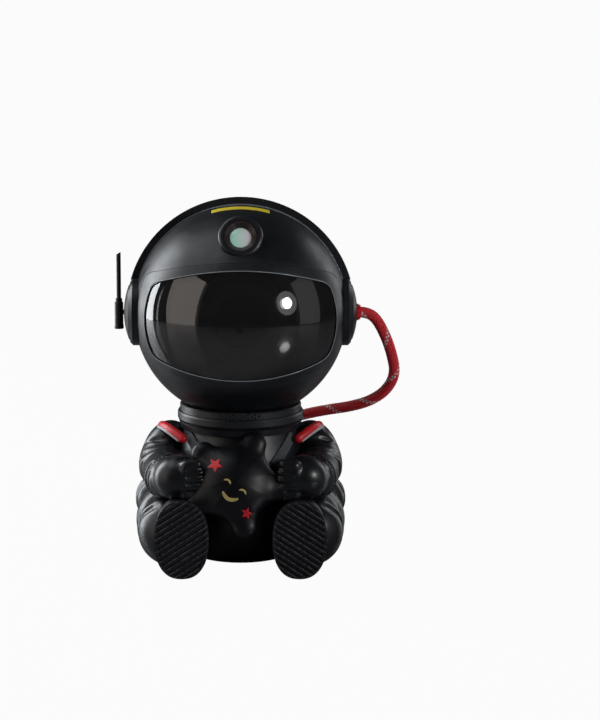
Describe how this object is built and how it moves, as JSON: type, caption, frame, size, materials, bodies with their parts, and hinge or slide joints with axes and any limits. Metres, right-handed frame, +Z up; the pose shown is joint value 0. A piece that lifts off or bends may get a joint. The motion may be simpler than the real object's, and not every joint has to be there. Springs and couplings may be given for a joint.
{
  "type": "planetarium projector",
  "caption": "Sitting astronaut night-sky projector: ball helmet on a magnetic neck, nebula lens behind a smoked visor, laser port, antenna, tether cord and star cushion.",
  "frame": {"origin": "centre of the footprint, on the table", "axes": "+Z up; the figure faces -Y; +X is the figure's left, where the tether cord is"},
  "size_m": [0.1726, 0.1347, 0.2174],
  "materials": {
    "shell_black": "satin",
    "suit_black": "satin",
    "visor_smoke": "smoked gloss",
    "optics_black": "matte",
    "lens_glass": "coated",
    "sole_rubber": "matte",
    "strap_red": "satin",
    "piping_pale": "matte",
    "cord_red": "braided",
    "cloth_pale": "woven",
    "antenna_black": "matte",
    "button_black": "matte",
    "base_black": "fine texture",
    "gear_white": "matte",
    "brass_parts": "turned",
    "steel_parts": "brushed",
    "iron_weight": "rough",
    "board_green": "solder mask",
    "sink_alu": "extruded"
  },
  "bodies": {
    "root": {"neck_collar": "shell_black", "collar_cloth": "cloth_pale", "microphone": "steel_parts", "neck_dish": "shell_black", "neck_magnet": "steel_parts", "body_front_shell": "shell_black", "body_rear_shell": "shell_black", "base_plate": "base_black", "base_screws": "steel_parts", "base_pad": "sole_rubber", "ballast_weight": "iron_weight", "power_board": "board_green", "usb_socket": "steel_parts", "backpack_cover": "shell_black", "button_board": "board_green", "button_switches": "board_green", "tether_cord": "cord_red", "gland_lower": "sole_rubber", "arm_left": "suit_black", "arm_right": "suit_black", "gloves": "suit_black", "legs": "suit_black", "boots": "suit_black", "soles": "sole_rubber", "shoulder_straps": "strap_red", "strap_piping": "piping_pale", "harness_straps": "suit_black", "star_cushion": "suit_black"},
    "seat_ring": {"seat_ring": "sole_rubber"},
    "helmet": {"helmet_front_shell": "shell_black", "helmet_rear_shell": "shell_black", "visor_frame": "shell_black", "visor_window": "visor_smoke", "ear_cup_left": "shell_black", "ear_cup_right": "shell_black", "gland_upper": "sole_rubber", "steel_pad": "steel_parts", "laser_bezel": "optics_black", "laser_lens": "lens_glass", "laser_module": "brass_parts", "laser_motor": "steel_parts", "laser_bracket": "optics_black", "chassis_plate": "optics_black", "chassis_drum": "optics_black", "lens_barrel": "optics_black", "projector_lens": "lens_glass", "lens_ring": "optics_black", "wheel_motor": "steel_parts", "led_board": "board_green", "heat_sink": "sink_alu", "driver_board": "board_green"},
    "antenna": {"antenna_base": "antenna_black", "antenna_rod": "antenna_black"},
    "nebula_wheel": {"nebula_wheel": "lens_glass"},
    "grating_gear": {"grating_gear": "gear_white"},
    "grating_pinion": {"grating_pinion": "brass_parts"},
    "button_power": {"button_power": "button_black"},
    "button_mode": {"button_mode": "button_black"},
    "button_dimmer": {"button_dimmer": "button_black"},
    "button_timer": {"button_timer": "button_black"}
  },
  "joints": [
    {"name": "head_turn", "type": "hinge", "parent": "root", "child": "seat_ring", "pos_m": [0, 0, 0.14857], "axis": [0, 0, 1], "range_deg": [-60, 60], "deforming": ["tether_cord"]},
    {"name": "head_tilt", "type": "hinge", "parent": "seat_ring", "child": "helmet", "pos_m": [0, 0, 0.14857], "axis": [-1, 0, 0], "range_deg": [-15, 35]},
    {"name": "antenna_swing", "type": "hinge", "parent": "helmet", "child": "antenna", "pos_m": [-0.073, 0, 0.14857], "axis": [1, 0, 0], "range_deg": [-90, 90]},
    {"name": "wheel_spin", "type": "hinge", "parent": "helmet", "child": "nebula_wheel", "pos_m": [0, -0.0175, 0.13257], "axis": [0, 1, 0], "continuous": true},
    {"name": "grating_spin", "type": "hinge", "parent": "helmet", "child": "grating_gear", "pos_m": [0, 13.32006, -6.6102], "axis": [0, -0.891, 0.454], "continuous": true},
    {"name": "pinion_spin", "type": "hinge", "parent": "helmet", "child": "grating_pinion", "pos_m": [0.012, 13.32006, -6.6102], "axis": [0, -0.891, 0.454], "continuous": true},
    {"name": "button_power_press", "type": "slide", "parent": "root", "child": "button_power", "axis": [0, -1, 0], "range_m": [0, 0.0008], "stiffness_N_per_m": 600, "springref_m": -0.0008},
    {"name": "button_mode_press", "type": "slide", "parent": "root", "child": "button_mode", "axis": [0, -1, 0], "range_m": [0, 0.0008], "stiffness_N_per_m": 600, "springref_m": -0.0008},
    {"name": "button_dimmer_press", "type": "slide", "parent": "root", "child": "button_dimmer", "axis": [0, -1, 0], "range_m": [0, 0.0008], "stiffness_N_per_m": 600, "springref_m": -0.0008},
    {"name": "button_timer_press", "type": "slide", "parent": "root", "child": "button_timer", "axis": [0, -1, 0], "range_m": [0, 0.0008], "stiffness_N_per_m": 600, "springref_m": -0.0008}
  ],
  "couplings": [
    {"joint": "pinion_spin", "follows": "grating_spin", "ratio": -2.3333}
  ]
}
